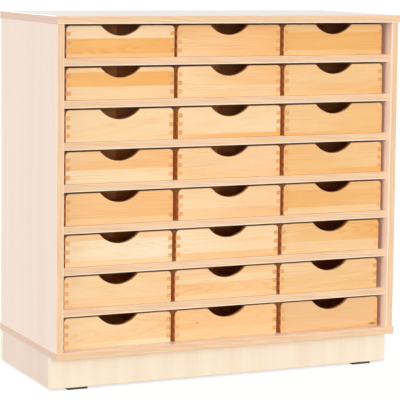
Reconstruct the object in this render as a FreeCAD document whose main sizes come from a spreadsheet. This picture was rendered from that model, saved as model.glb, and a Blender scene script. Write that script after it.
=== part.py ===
# Classroom tray storage unit: three columns of eight loose wooden trays on fixed shelves, in a cabinet of
# coated board with edge strips, standing on a set-back plinth with glides.
# Millimetres. +X is right as seen from the front, +Y is back, +Z is up. The origin is on the floor, under
# the middle of the unit.

import FreeCAD, Part
import os
import Sketcher

ROWS = 8
COLUMNS = 3
DOWELS_PER_CASE_JOINT = 4
DOWELS_PER_SHELF_END = 3
SCREWS_PER_BATTEN = 4
FINGERS_PER_CORNER = 3

SIZES = {
    # Cabinet boards
    "board": 18,                    # thickness of every cabinet board
    "edging": 2,                    # thickness of the edge strips
    "edging_round": 1.5,            # rounding of the edge strips' outer edges
    "side_overhang": 2,             # top and bottom panel past each side panel
    "front_overhang": 3,            # top and bottom panel past the side panels' front edges
    "shelf_setback": 17,            # shelves' front behind the side panels' front edges
    # Back panel
    "back_thickness": 8,
    "back_inset": 10,               # its rear face in front of the cabinet's rear
    "back_groove": 8,               # depth of its groove in the boards around it
    # Plinth
    "plinth_height": 74,
    "plinth_recess": 36,            # plinth's front behind the side panels' front edges
    "batten": 25,                   # width and height of the battens
    "glide_length": 50,
    "glide_thickness": 5,
    "glide_round": 1.2,
    "glide_inset": 41,              # glide's end from the plinth's end
    # Trays
    "tray_width": 268,
    "tray_height": 73.5,
    "tray_length": 350,
    "tray_board": 11,               # thickness of a tray's four walls
    "tray_corner_round": 9.5,       # rounding of a tray's two long upper edges
    "notch_width": 98,              # finger notch across its mouth
    "notch_depth": 23.5,
    "finger_height": 10,            # one finger of the corner joints
    "floor_thickness": 4,
    "floor_lift": 5,                # lower side of the floor's groove above the tray's lower edge
    "floor_groove": 5,              # depth of the floor's groove in the walls
    # Room round the trays
    "column_gap": 10,
    "side_gap": 12,
    "tray_headroom": 4.6,
    "tray_rest_gap": 0.3,
    "tray_setback": 25,             # trays' front behind the side panels' front edges
    "tray_rear_gap": 11,
    # Panels in grooves
    "groove_play": 0.1,             # each face of the panel
    "groove_end_play": 0.5,         # each edge of the panel
    # Dowels
    "dowel_radius": 4,
    "dowel_length": 35,
    "dowel_chamfer": 1,
    "dowel_in_face": 11,            # depth in the board that the dowel enters through its face
    "dowel_play": 0.1,              # round a dowel in its hole
    "dowel_end_gap": 0.8,           # past each end of a dowel in its hole
    "case_dowel_inset": 50,
    "shelf_dowel_inset": 45,
    "plinth_dowel_inset": 18,
    # Screws
    "screw_play": 0.1,              # round a screw in its hole
    "screw_sink": 0.4,              # head below the surface
    "screw_socket": 1.2,            # depth of the socket in the head
    "batten_screw_radius": 2,
    "batten_screw_head": 4,         # radius of the head
    "batten_screw_bite": 11,        # length in the bottom panel
    "batten_screw_inset": 70,       # outermost screw from the batten's end
    "glide_screw_radius": 1.5,
    "glide_screw_head": 3,
    "glide_screw_bite": 13,         # length in the plinth board
    "glide_screw_inset": 12,        # screw from the glide's end
}

# Lengths and places that follow from the sizes
LAYOUT = {
    "inside_width": f"{COLUMNS} * Sizes.tray_width + {COLUMNS - 1} * Sizes.column_gap + 2 * Sizes.side_gap",
    "case_width": "inside_width + 2 * Sizes.board",
    "panel_width": "case_width + 2 * Sizes.side_overhang",
    "opening_height": "Sizes.tray_rest_gap + Sizes.tray_height + Sizes.tray_headroom",
    "row_pitch": "opening_height + Sizes.board",
    "inside_height": f"{ROWS} * opening_height + {ROWS - 1} * Sizes.board",
    "inside_depth": "Sizes.tray_setback + Sizes.tray_length + Sizes.tray_rear_gap",
    "case_depth": "inside_depth + Sizes.back_thickness + Sizes.back_inset",
    "panel_depth": "case_depth + Sizes.front_overhang",
    "plinth_depth": "case_depth - Sizes.plinth_recess",
    "side_middle": "(case_width - Sizes.board) / 2",
    # Places along Y
    "panel_front": "-panel_depth / 2",
    "case_front": "panel_front + Sizes.front_overhang",
    "case_back": "case_front + case_depth",
    "back_face": "case_front + inside_depth",
    "shelf_front": "case_front + Sizes.shelf_setback",
    "tray_front": "case_front + Sizes.tray_setback",
    "plinth_face": "case_front + Sizes.plinth_recess",
    # Places along Z
    "bottom_low": "Sizes.glide_thickness + Sizes.plinth_height",
    "bottom_high": "bottom_low + Sizes.board",
    "top_low": "bottom_high + inside_height",
    "batten_low": "bottom_low - Sizes.batten",
    # Tray
    "notch_radius": "(Sizes.notch_width ^ 2 / 4 + Sizes.notch_depth ^ 2) / (2 * Sizes.notch_depth)",
    "tray_inside_width": "Sizes.tray_width - 2 * Sizes.tray_board",
    "tray_inside_length": "Sizes.tray_length - 2 * Sizes.tray_board",
    "tray_pitch": "Sizes.tray_width + Sizes.column_gap",
}

doc = FreeCAD.newDocument("TrayUnit")
sheet = doc.addObject("Spreadsheet::Sheet", "Sizes")
for line, (alias, value) in enumerate(SIZES.items(), start=1):
    sheet.set(f"A{line}", str(value))
    sheet.setAlias(f"A{line}", alias)
doc.recompute()

layout = doc.addObject("App::VarSet", "Layout")
for name, formula in LAYOUT.items():
    layout.addProperty("App::PropertyFloat", name, "Layout")
    layout.setExpression(name, formula)
doc.recompute()

# Turns that bring +Z to the direction named
UP = FreeCAD.Rotation()
DOWN = FreeCAD.Rotation(FreeCAD.Vector(1, 0, 0), 180)
LEFT = FreeCAD.Rotation(FreeCAD.Vector(0, 1, 0), -90)
RIGHT = FreeCAD.Rotation(FreeCAD.Vector(0, 1, 0), 90)
FRONT = FreeCAD.Rotation(FreeCAD.Vector(1, 0, 0), 90)
BACK = FreeCAD.Rotation(FreeCAD.Vector(1, 0, 0), -90)

nodes = []


def bind(item, formulas):
    """Tie properties of the item to the sizes."""
    for path, formula in formulas.items():
        item.setExpression(path, formula)


def place(item, x, y, z, turn=UP):
    """Turn the item, and tie its place to the sizes."""
    item.Placement = FreeCAD.Placement(FreeCAD.Vector(), turn)
    bind(item, {"Placement.Base.x": x, "Placement.Base.y": y, "Placement.Base.z": z})
    return item


def box(name, length, width, height, x, y, z):
    """A plain block with its low corner at x, y, z."""
    item = doc.addObject("Part::Box", name)
    bind(item, {"Length": length, "Width": width, "Height": height})
    return place(item, x, y, z)


def cylinder(name, radius, height, z, turn=UP, x="0", y="0"):
    """A round bar that starts at x, y, z and runs along the turned +Z."""
    item = doc.addObject("Part::Cylinder", name)
    bind(item, {"Radius": radius, "Height": height})
    return place(item, x, y, z, turn)


def cone(name, low_radius, high_radius, height, z):
    """A round taper along +Z."""
    item = doc.addObject("Part::Cone", name)
    bind(item, {"Radius1": low_radius, "Radius2": high_radius, "Height": height})
    return place(item, "0", "0", z)


def group(name, members):
    """Separate solids side by side."""
    item = doc.addObject("Part::Compound", name)
    item.Links = members
    return item


def boolean(kind, name, base, tool):
    """The base less the tool (Cut), or what both share (Common)."""
    item = doc.addObject(f"Part::{kind}", name)
    item.Base = base
    item.Tool = tool
    return item


def fuse(name, members):
    """Members joined into one solid, without seams between flush faces."""
    item = doc.addObject("Part::MultiFuse", name)
    item.Shapes = members
    item.Refine = True
    return item


def keep(item, node):
    """Hand the item on as a sub-part of its own, under the node's name."""
    item.Label = node
    nodes.append(item)


def spread(first, last, count):
    """Formulas for evenly spaced places from first to last."""
    return [f"({first}) + ({last} - ({first})) * {step} / {count - 1}" for step in range(count)]


def rounded_block(name, length, width, height, rounding, is_rounded):
    """A block with its low corner at its body's origin, and the edges that is_rounded picks made round."""
    body = doc.addObject("PartDesign::Body", name)
    sketch = body.newObject("Sketcher::SketchObject", f"{name}_outline")
    floor_plane = next(item for item in body.Origin.OriginFeatures if item.Role == "XY_Plane")
    sketch.AttachmentSupport = [(floor_plane, "")]
    sketch.MapMode = "FlatFace"
    corners = [FreeCAD.Vector(x, y) for x, y in ((0, 0), (2, 0), (2, 1), (0, 1))]
    for side, direction in enumerate(("Horizontal", "Vertical", "Horizontal", "Vertical")):
        sketch.addGeometry(Part.LineSegment(corners[side], corners[(side + 1) % 4]), False)
        sketch.addConstraint(Sketcher.Constraint(direction, side))
    for side in range(4):
        sketch.addConstraint(Sketcher.Constraint("Coincident", side, 2, (side + 1) % 4, 1))
    sketch.addConstraint(Sketcher.Constraint("Coincident", 0, 1, -1, 1))
    named_size(sketch, Sketcher.Constraint("DistanceX", 0, 1, 0, 2, 2), "length", length)
    named_size(sketch, Sketcher.Constraint("DistanceY", 1, 1, 1, 2, 1), "width", width)
    pad = body.newObject("PartDesign::Pad", f"{name}_block")
    pad.Profile = sketch
    pad.setExpression("Length", height)
    doc.recompute()
    bounds = pad.Shape.BoundBox
    rounded = [index for index, edge in enumerate(pad.Shape.Edges, start=1) if is_rounded(edge, bounds)]
    fillet = body.newObject("PartDesign::Fillet", f"{name}_rounding")
    fillet.Base = (pad, [f"Edge{index}" for index in rounded])
    fillet.setExpression("Radius", rounding)
    return body


def named_size(sketch, constraint, name, formula):
    """A dimension of the sketch, tied to the sizes."""
    sketch.renameConstraint(sketch.addConstraint(constraint), name)
    sketch.setExpression(f"Constraints.{name}", formula)


def lies_on(edge, bounds, face):
    """Whether the edge lies on the named outer face of the block within the bounds."""
    middle = edge.CenterOfMass
    distance = {
        "front": middle.y - bounds.YMin,
        "back": middle.y - bounds.YMax,
        "left": middle.x - bounds.XMin,
        "right": middle.x - bounds.XMax,
        "under": middle.z - bounds.ZMin,
        "upper": middle.z - bounds.ZMax,
    }[face]
    return abs(distance) < 1e-6


def edge_strip(name, outer, length, width, height, x, y, z):
    """A strip of edging with the long edges of its outer face rounded."""
    def is_rounded(edge, bounds):
        return lies_on(edge, bounds, outer) and edge.Length > bounds.DiagonalLength / 2

    rounding = "min(Sizes.edging_round; 0.9 * Sizes.edging)"
    return place(rounded_block(name, length, width, height, rounding, is_rounded), x, y, z)


# Dowels. A dowel and its hole stand along Z. The joint's plane is at 0, with the board that the dowel
# enters through its face above it.
DOWEL_FOOT = "Sizes.dowel_in_face - Sizes.dowel_length"
dowel = fuse("dowel", [
    cone("dowel_foot", "Sizes.dowel_radius - Sizes.dowel_chamfer", "Sizes.dowel_radius",
         "Sizes.dowel_chamfer", DOWEL_FOOT),
    cylinder("dowel_shank", "Sizes.dowel_radius", "Sizes.dowel_length - 2 * Sizes.dowel_chamfer",
             f"{DOWEL_FOOT} + Sizes.dowel_chamfer"),
    cone("dowel_tip", "Sizes.dowel_radius", "Sizes.dowel_radius - Sizes.dowel_chamfer",
         "Sizes.dowel_chamfer", "Sizes.dowel_in_face - Sizes.dowel_chamfer"),
])
dowel_hole = cylinder("dowel_hole", "Sizes.dowel_radius + Sizes.dowel_play",
                      "Sizes.dowel_length + 2 * Sizes.dowel_end_gap", f"{DOWEL_FOOT} - Sizes.dowel_end_gap")


def fasteners(node, piece, hole, places):
    """Copies of the piece as one sub-part, and its holes, at the places given as x, y, z and a turn."""
    pieces = []
    holes = []
    for number, (x, y, z, turn) in enumerate(places, start=1):
        pieces.append(place(group(f"{node}_{number}", [piece]), x, y, z, turn))
        holes.append(place(group(f"{node}_hole_{number}", [hole]), x, y, z, turn))
    keep(group(node, pieces), node)
    return group(f"{node}_holes", holes)


SIDE_MIDDLES = ("-Layout.side_middle", "Layout.side_middle")
case_holes = fasteners("case_dowels", dowel, dowel_hole, [
    (x, y, z, turn)
    for z, turn in (("Layout.top_low", UP), ("Layout.bottom_high", DOWN))
    for x in SIDE_MIDDLES
    for y in spread("Layout.case_front + Sizes.case_dowel_inset",
                    "Layout.case_back - Sizes.case_dowel_inset", DOWELS_PER_CASE_JOINT)
])
shelf_holes = fasteners("shelf_dowels", dowel, dowel_hole, [
    (x, y, f"Layout.top_low - {shelf} * Layout.row_pitch + Sizes.board / 2", turn)
    for shelf in range(1, ROWS)
    for x, turn in (("-Layout.inside_width / 2", LEFT), ("Layout.inside_width / 2", RIGHT))
    for y in spread("Layout.shelf_front + Sizes.shelf_dowel_inset",
                    "Layout.back_face - Sizes.shelf_dowel_inset", DOWELS_PER_SHELF_END)
])
plinth_holes = fasteners("plinth_dowels", dowel, dowel_hole, [
    (x, y, z, turn)
    for y, turn in (("Layout.plinth_face + Sizes.board", FRONT), ("Layout.case_back - Sizes.board", BACK))
    for x in SIDE_MIDDLES
    for z in ("Sizes.glide_thickness + Sizes.plinth_dowel_inset", "Layout.bottom_low - Sizes.plinth_dowel_inset")
])


# Countersunk screws, along +Z from the surface that the head lies in
def screw(name, radius, head, length):
    """A screw with a hexagonal socket, and the hole that it fills."""
    head_height = f"{head} - {radius}"
    body = fuse(f"{name}_body", [
        cone(f"{name}_head", head, radius, head_height, "Sizes.screw_sink"),
        cylinder(f"{name}_shank", radius, f"{length} - Sizes.screw_sink - {radius}", "Sizes.screw_sink"),
        cone(f"{name}_tip", radius, f"0.2 * {radius}", radius, f"{length} - {radius}"),
    ])
    socket = doc.addObject("Part::Prism", f"{name}_socket")
    bind(socket, {"Circumradius": f"0.5 * {head}", "Height": "Sizes.screw_socket"})
    place(socket, "0", "0", "Sizes.screw_sink")
    hole = fuse(f"{name}_hole", [
        cylinder(f"{name}_hole_mouth", f"{head} + Sizes.screw_play", "Sizes.screw_sink", "0"),
        cone(f"{name}_hole_sink", f"{head} + Sizes.screw_play", f"{radius} + Sizes.screw_play", head_height,
             "Sizes.screw_sink"),
        cylinder(f"{name}_hole_bore", f"{radius} + Sizes.screw_play", f"{length} + Sizes.screw_play", "0"),
    ])
    return boolean("Cut", name, body, socket), hole


batten_screw, batten_screw_hole = screw("batten_screw", "Sizes.batten_screw_radius", "Sizes.batten_screw_head",
                                        "(Sizes.batten + Sizes.batten_screw_bite)")
glide_screw, glide_screw_hole = screw("glide_screw", "Sizes.glide_screw_radius", "Sizes.glide_screw_head",
                                      "(Sizes.glide_thickness + Sizes.glide_screw_bite)")

batten_holes = fasteners("plinth_screws", batten_screw, batten_screw_hole, [
    (x, y, "Layout.batten_low", UP)
    for y in ("Layout.plinth_face + Sizes.board + Sizes.batten / 2",
              "Layout.case_back - Sizes.board - Sizes.batten / 2")
    for x in spread("Sizes.batten_screw_inset - Layout.inside_width / 2",
                    "(Layout.inside_width / 2 - Sizes.batten_screw_inset)", SCREWS_PER_BATTEN)
])

GLIDE_ENDS = {
    "left": "Sizes.glide_inset - Layout.case_width / 2",
    "right": "Layout.case_width / 2 - Sizes.glide_inset - Sizes.glide_length",
}
GLIDE_FRONTS = {"front": "Layout.plinth_face", "back": "Layout.case_back - Sizes.board"}
glide_holes = fasteners("glide_screws", glide_screw, glide_screw_hole, [
    (f"{end} + {along}", f"{front} + Sizes.board / 2", "0", UP)
    for front in GLIDE_FRONTS.values()
    for end in GLIDE_ENDS.values()
    for along in ("Sizes.glide_screw_inset", "Sizes.glide_length - Sizes.glide_screw_inset")
])


# Back panel and the groove that holds it on all four sides
def grooved_panel(name, width, depth, height, x, y, z, flat):
    """The block of a groove, and of the panel in it. flat is the axis across the panel's faces."""
    full = {"x": width, "y": depth, "z": height}
    low = {"x": x, "y": y, "z": z}
    play = {axis: "Sizes.groove_play" if axis == flat else "Sizes.groove_end_play" for axis in full}
    groove = box(f"{name}_slot", *full.values(), *low.values())
    panel = box(name, *(f"{full[axis]} - 2 * {play[axis]}" for axis in full),
                *(f"{low[axis]} + {play[axis]}" for axis in full))
    return groove, panel


back_slot, back_panel = grooved_panel(
    "back_panel",
    "Layout.inside_width + 2 * Sizes.back_groove",
    "Sizes.back_thickness + 2 * Sizes.groove_play",
    "Layout.inside_height + 2 * Sizes.back_groove",
    "-Layout.inside_width / 2 - Sizes.back_groove",
    "Layout.back_face - Sizes.groove_play",
    "Layout.bottom_high - Sizes.back_groove",
    "y",
)
keep(back_panel, "back_panel")


# Top and bottom panel, each with edging all round
def cover_panel(name, low, holes):
    """A panel over or under the side panels, with its four edge strips."""
    core = box(f"{name}_core", "Layout.panel_width - 2 * Sizes.edging", "Layout.panel_depth - 2 * Sizes.edging",
               "Sizes.board", "Sizes.edging - Layout.panel_width / 2", "Layout.panel_front + Sizes.edging", low)
    keep(boolean("Cut", f"{name}_panel", core, group(f"{name}_openings", holes)), f"{name}_panel")
    left = "-Layout.panel_width / 2"
    strips = [
        edge_strip(f"{name}_strip_front", "front", "Layout.panel_width", "Sizes.edging", "Sizes.board",
                   left, "Layout.panel_front", low),
        edge_strip(f"{name}_strip_back", "back", "Layout.panel_width", "Sizes.edging", "Sizes.board",
                   left, "Layout.case_back - Sizes.edging", low),
        edge_strip(f"{name}_strip_left", "left", "Sizes.edging", "Layout.panel_depth - 2 * Sizes.edging",
                   "Sizes.board", left, "Layout.panel_front + Sizes.edging", low),
        edge_strip(f"{name}_strip_right", "right", "Sizes.edging", "Layout.panel_depth - 2 * Sizes.edging",
                   "Sizes.board", "Layout.panel_width / 2 - Sizes.edging", "Layout.panel_front + Sizes.edging",
                   low),
    ]
    keep(group(f"{name}_strips", strips), f"edging_{name}")


cover_panel("top", "Layout.top_low", [case_holes, back_slot])
cover_panel("bottom", "Layout.bottom_low", [case_holes, back_slot, batten_holes])


# Side panels, with edging at the front and at the rear
def side_panel(side, x):
    """A side panel that stands between the bottom and the top panel."""
    core = box(f"{side}_core", "Sizes.board", "Layout.case_depth - 2 * Sizes.edging", "Layout.inside_height",
               x, "Layout.case_front + Sizes.edging", "Layout.bottom_high")
    openings = group(f"{side}_openings", [case_holes, shelf_holes, back_slot])
    keep(boolean("Cut", f"{side}_panel", core, openings), f"side_{side}")
    strips = [
        edge_strip(f"{side}_strip_{end}", end, "Sizes.board", "Sizes.edging", "Layout.inside_height",
                   x, y, "Layout.bottom_high")
        for end, y in (("front", "Layout.case_front"), ("back", "Layout.case_back - Sizes.edging"))
    ]
    keep(group(f"{side}_strips", strips), f"edging_side_{side}")


side_panel("left", "-Layout.case_width / 2")
side_panel("right", "Layout.inside_width / 2")

# Shelves, numbered from the top, each with edging at the front
shelf_strips = []
for shelf in range(1, ROWS):
    shelf_low = f"Layout.top_low - {shelf} * Layout.row_pitch"
    shelf_core = box(f"shelf_core_{shelf}", "Layout.inside_width",
                     "Layout.back_face - Layout.shelf_front - Sizes.edging", "Sizes.board",
                     "-Layout.inside_width / 2", "Layout.shelf_front + Sizes.edging", shelf_low)
    keep(boolean("Cut", f"shelf_{shelf}", shelf_core, shelf_holes), f"shelf_{shelf}")
    shelf_strips.append(edge_strip(f"shelf_strip_{shelf}", "front", "Layout.inside_width", "Sizes.edging",
                                   "Sizes.board", "-Layout.inside_width / 2", "Layout.shelf_front", shelf_low))
keep(group("shelf_strips", shelf_strips), "edging_shelves")

# Plinth: front and back board over the whole width, side boards between them
for end, y in GLIDE_FRONTS.items():
    plinth_core = box(f"plinth_core_{end}", "Layout.case_width", "Sizes.board", "Sizes.plinth_height",
                      "-Layout.case_width / 2", y, "Sizes.glide_thickness")
    plinth_openings = group(f"plinth_openings_{end}", [plinth_holes, glide_holes])
    keep(boolean("Cut", f"plinth_board_{end}", plinth_core, plinth_openings), f"plinth_{end}")
for side, x in (("left", "-Layout.case_width / 2"), ("right", "Layout.inside_width / 2")):
    plinth_core = box(f"plinth_core_{side}", "Sizes.board", "Layout.plinth_depth - 2 * Sizes.board",
                      "Sizes.plinth_height", x, "Layout.plinth_face + Sizes.board", "Sizes.glide_thickness")
    keep(boolean("Cut", f"plinth_board_{side}", plinth_core, plinth_holes), f"plinth_{side}")

# Battens inside the plinth, screwed up into the bottom panel
for end, y in (("front", "Layout.plinth_face + Sizes.board"),
               ("back", "Layout.case_back - Sizes.board - Sizes.batten")):
    batten_core = box(f"batten_core_{end}", "Layout.inside_width", "Sizes.batten", "Sizes.batten",
                      "-Layout.inside_width / 2", y, "Layout.batten_low")
    keep(boolean("Cut", f"batten_{end}", batten_core, batten_holes), f"plinth_batten_{end}")

# Glides under the plinth's front and back board
for end, y in GLIDE_FRONTS.items():
    for side, x in GLIDE_ENDS.items():
        pad = rounded_block(f"glide_pad_{end}_{side}", "Sizes.glide_length", "Sizes.board",
                            "Sizes.glide_thickness", "min(Sizes.glide_round; 0.4 * Sizes.glide_thickness)",
                            lambda edge, bounds: lies_on(edge, bounds, "under"))
        place(pad, x, y, "0")
        keep(boolean("Cut", f"glide_{end}_{side}", pad, glide_holes), f"glide_{end}_{side}")

# One tray, with its lower front edge's middle at the origin. The outer shape has both long upper edges
# rounded, and the walls are cut out of it.
tray_shape = rounded_block(
    "tray_shape", "Sizes.tray_width", "Sizes.tray_length", "Sizes.tray_height",
    "min(Sizes.tray_corner_round; 0.9 * Sizes.tray_board)",
    lambda edge, bounds: lies_on(edge, bounds, "upper")
    and (lies_on(edge, bounds, "left") or lies_on(edge, bounds, "right")),
)
place(tray_shape, "-Sizes.tray_width / 2", "0", "0")

floor_slot, tray_floor = grooved_panel(
    "tray_floor",
    "Layout.tray_inside_width + 2 * Sizes.floor_groove",
    "Layout.tray_inside_length + 2 * Sizes.floor_groove",
    "Sizes.floor_thickness + 2 * Sizes.groove_play",
    "-Layout.tray_inside_width / 2 - Sizes.floor_groove",
    "Sizes.tray_board - Sizes.floor_groove",
    "Sizes.floor_lift",
    "z",
)

WALL_SIDES = {"left": "-Sizes.tray_width / 2", "right": "Layout.tray_inside_width / 2"}
WALL_ENDS = {"front": "0", "back": "Sizes.tray_length - Sizes.tray_board"}
corner_fingers = {
    (side, end): [
        box(f"finger_{end}_{side}_{number}", "Sizes.tray_board", "Sizes.tray_board", "Sizes.finger_height",
            x, y, f"{2 * number - 1} * Sizes.finger_height")
        for number in range(1, FINGERS_PER_CORNER + 1)
    ]
    for side, x in WALL_SIDES.items()
    for end, y in WALL_ENDS.items()
}

tray_walls = []
for side, x in WALL_SIDES.items():
    plain_wall = box(f"side_wall_{side}", "Sizes.tray_board", "Layout.tray_inside_length", "Sizes.tray_height",
                     x, "Sizes.tray_board", "0")
    fingered = fuse(f"fingered_wall_{side}",
                    [plain_wall] + corner_fingers[side, "front"] + corner_fingers[side, "back"])
    rounded = boolean("Common", f"rounded_wall_{side}", tray_shape, fingered)
    tray_walls.append(boolean("Cut", f"tray_{side}", rounded, floor_slot))

notch = cylinder("finger_notch", "Layout.notch_radius", "Sizes.tray_board",
                 "Sizes.tray_height - Sizes.notch_depth + Layout.notch_radius", BACK)
for end, y in WALL_ENDS.items():
    plain_wall = box(f"end_wall_{end}", "Sizes.tray_width", "Sizes.tray_board", "Sizes.tray_height",
                     "-Sizes.tray_width / 2", y, "0")
    rounded = boolean("Common", f"rounded_wall_{end}", tray_shape, plain_wall)
    openings = corner_fingers["left", end] + corner_fingers["right", end] + [floor_slot]
    if end == "front":
        openings.append(notch)
    tray_walls.append(boolean("Cut", f"tray_{end}", rounded, fuse(f"wall_openings_{end}", openings)))

# The trays, in rows numbered from the top and columns from the left. Each lies loose, so it lies a little
# to the right (+) or left (-) of the middle of its place.
TRAY_LIES = ((1, -2, -2), (1, 0, 1), (0, 2, 3), (0, 2, 3), (1, 5, 4), (0, 0, 0), (-2, -2, -3), (-2, -1, 1))
for row in range(1, ROWS + 1):
    for column in range(1, COLUMNS + 1):
        tray = group(f"tray_{row}_{column}", tray_walls + [tray_floor])
        middle = f"{column - (COLUMNS + 1) / 2} * Layout.tray_pitch"
        place(tray, f"{middle} + {TRAY_LIES[row - 1][column - 1]}", "Layout.tray_front",
              f"Layout.top_low - {row} * Layout.row_pitch + Sizes.board + Sizes.tray_rest_gap")
        keep(tray, f"tray_r{row}_c{column}")

doc.recompute()

for item in doc.Objects:
    if "Invalid" in item.State or "Error" in item.State:
        raise RuntimeError(f"{item.Label} did not build: {item.State}")
for item in nodes:
    if item.Shape.isNull() or not item.Shape.isValid():
        raise RuntimeError(f"{item.Label} has no valid shape")

os.makedirs("parts", exist_ok=True)
for item in nodes:
    item.Shape.exportStep(f"parts/{item.Label}.step")
    print(f"{item.Label}: {len(item.Shape.Solids)} solids, {item.Shape.Volume / 1000:.1f} cm3")
print(f"{len(nodes)} sub-parts")
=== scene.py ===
import math
import random

import bmesh
import bpy
from mathutils import Color, Matrix, Vector


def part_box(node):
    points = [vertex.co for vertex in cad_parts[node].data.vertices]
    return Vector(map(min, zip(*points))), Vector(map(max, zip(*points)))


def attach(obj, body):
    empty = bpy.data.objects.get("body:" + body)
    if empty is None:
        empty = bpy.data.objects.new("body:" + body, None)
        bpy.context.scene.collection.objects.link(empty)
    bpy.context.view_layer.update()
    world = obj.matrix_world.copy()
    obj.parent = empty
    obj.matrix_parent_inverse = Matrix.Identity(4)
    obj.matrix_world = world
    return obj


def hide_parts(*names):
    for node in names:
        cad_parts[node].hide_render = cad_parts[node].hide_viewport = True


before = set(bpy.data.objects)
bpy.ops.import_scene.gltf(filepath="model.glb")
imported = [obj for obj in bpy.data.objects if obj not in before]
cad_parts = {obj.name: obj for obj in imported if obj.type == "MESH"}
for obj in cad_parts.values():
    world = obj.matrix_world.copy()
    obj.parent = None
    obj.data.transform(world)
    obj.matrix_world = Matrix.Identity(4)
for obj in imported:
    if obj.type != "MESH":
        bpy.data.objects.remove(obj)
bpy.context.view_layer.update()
bpy.ops.object.select_all(action="DESELECT")


# Plinth: four boards on edge, the front and the back one over the whole width. Chipboard with a printed and
# coated maple face, its figure upright, and a sawn lower edge; dowelled at the corners.
PLINTH_PALE = (254, 241, 217)
PLINTH_DEEP = (248, 228, 202)
# The side boards' tones are the front boards' made darker: painted shade on the plinth's sides.
PLINTH_DIM_PALE = (245, 220, 200)
PLINTH_DIM_DEEP = (237, 209, 189)
CHIPS_PALE = (214, 182, 136)
CHIPS_DEEP = (150, 112, 72)
CHIPS = 420.0                           # chips of the core to the metre
CHIP_SPREAD = (0.1, 0.7)                # how far a point is from a chip's middle, in chips, from pale to deep
SAWN_EDGE = 0.0004                      # how far above the board's lower edge the sawn core still shows


def screen(red, green, blue):
    """A colour written as a screen shows it, 0 to 255 each, as the RGBA that a socket takes."""
    return (*Color((red / 255, green / 255, blue / 255)).from_srgb_to_scene_linear(), 1)


def put(tree, kind, sources, **settings):
    """Adds a node. A source is a plain value or a node's output, under its socket's name or number."""
    node = tree.nodes.new(f"ShaderNode{kind}")
    for setting, value in settings.items():
        setattr(node, setting, value)
    for socket, source in sources.items():
        if isinstance(source, bpy.types.NodeSocket):
            tree.links.new(source, node.inputs[socket])
        else:
            node.inputs[socket].default_value = source
    return node


def reckon(tree, operation, *terms):
    """One step of arithmetic on values."""
    return put(tree, "Math", dict(enumerate(terms)), operation=operation).outputs[0]


def blend_colours(tree, share, low, high, kind="MIX"):
    """The low colour at a share of 0 and the high one, mixed or multiplied in, at 1."""
    return put(tree, "Mix", {0: share, 6: low, 7: high}, data_type="RGBA", blend_type=kind).outputs[2]


def ramp(tree, value, low, high):
    """Rises smoothly from 0 at low to 1 at high."""
    return put(tree, "MapRange", {"Value": value, "From Min": low, "From Max": high},
               interpolation_type="SMOOTHSTEP").outputs[0]


def grain(tree, place, density, detail=2.0):
    """Noise with so many features to the metre along X, Y and Z. It is 0.5 on average."""
    stretched = put(tree, "Mapping", {"Vector": place, "Scale": density}).outputs[0]
    return put(tree, "TexNoise", {"Vector": stretched, "Scale": 1.0, "Detail": detail}).outputs[0]


def make_group(name, inputs, outputs):
    """A shader node group with these sockets. Returns it, what it is given and what it puts out."""
    group = bpy.data.node_groups.new(name, "ShaderNodeTree")
    for direction, sockets in (("INPUT", inputs), ("OUTPUT", outputs)):
        for socket, kind in sockets.items():
            group.interface.new_socket(name=socket, in_out=direction, socket_type=f"NodeSocket{kind}")
    return group, group.nodes.new("NodeGroupInput").outputs, group.nodes.new("NodeGroupOutput").inputs


def use_group(tree, group, sources):
    """Places a shared group in a material with that material's own values."""
    return put(tree, "Group", sources, node_tree=group).outputs


def new_finish(name, roughness=0.5, coat=0.0, coat_roughness=0.2, metallic=0.0):
    """A material with one Principled shader. Returns it, its tree, its inputs and a point's place."""
    material = bpy.data.materials.new(name)
    material.use_nodes = True
    tree = material.node_tree
    shader = tree.nodes["Principled BSDF"].inputs
    shader["Roughness"].default_value = roughness
    shader["Metallic"].default_value = metallic
    shader["Coat Weight"].default_value = coat
    shader["Coat Roughness"].default_value = coat_roughness
    place = tree.nodes.new("ShaderNodeTexCoord").outputs["Object"]
    return material, tree, shader, place


def weigh(tree, *parts):
    """Adds values up, each times its weight."""
    total = 0.0
    for value, weight in parts:
        total = reckon(tree, "MULTIPLY_ADD", value, weight, total)
    return total


def relief(tree, shader, height, depth, strength):
    """Gives the shader a bumpy surface, depth metres deep."""
    bump = put(tree, "Bump", {"Height": height, "Distance": depth, "Strength": strength})
    tree.links.new(bump.outputs[0], shader["Normal"])


def dress(nodes, material):
    """Gives CAD nodes their finish."""
    for node in nodes:
        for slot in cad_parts[node].material_slots:
            slot.material = material


# The print, with its figure along Z: broad soft bands, finer streaks, hairlines, and short pores. Each has so
# many features to the metre along X, Y and Z, and so much finer detail.
PRINT_NOISE = {
    "bands": ((26, 26, 0.7), 1.0),
    "streaks": ((95, 95, 1.6), 3.0),
    "hairlines": ((800, 800, 7), 2.0),
    "pores": ((2400, 2400, 160), 1.0),
}
PRINT_TONE = (1.1, 0.65, 0.35, 0.25)    # how much bands, streaks, hairlines and pores deepen the tone
PRINT_SPREAD = (0.45, 1.75)             # their sums where the print is palest and where it is deepest
PRINT_PORES = (0.62, 0.72)              # the noise's heights between which a pore opens
PRINT_ROUGH = (0.10, 0.18)              # roughness: what the streaks add, and what there is without them
PRINT_DEPTH = 0.00003
PRINT_RELIEF = 0.5                      # how strongly the bumps show
maple_print, given, result = make_group(
    "maple print",
    {"Place": "Vector", "Pale": "Color", "Deep": "Color"},
    {"Color": "Color", "Roughness": "Float", "Height": "Float"},
)
bands, streaks, hairlines, pores = (
    grain(maple_print, given["Place"], *noise) for noise in PRINT_NOISE.values()
)
pores = ramp(maple_print, pores, *PRINT_PORES)
share = weigh(maple_print, *zip((bands, streaks, hairlines, pores), PRINT_TONE))
share = ramp(maple_print, share, *PRINT_SPREAD)
maple_print.links.new(blend_colours(maple_print, share, given["Pale"], given["Deep"]), result["Color"])
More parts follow.
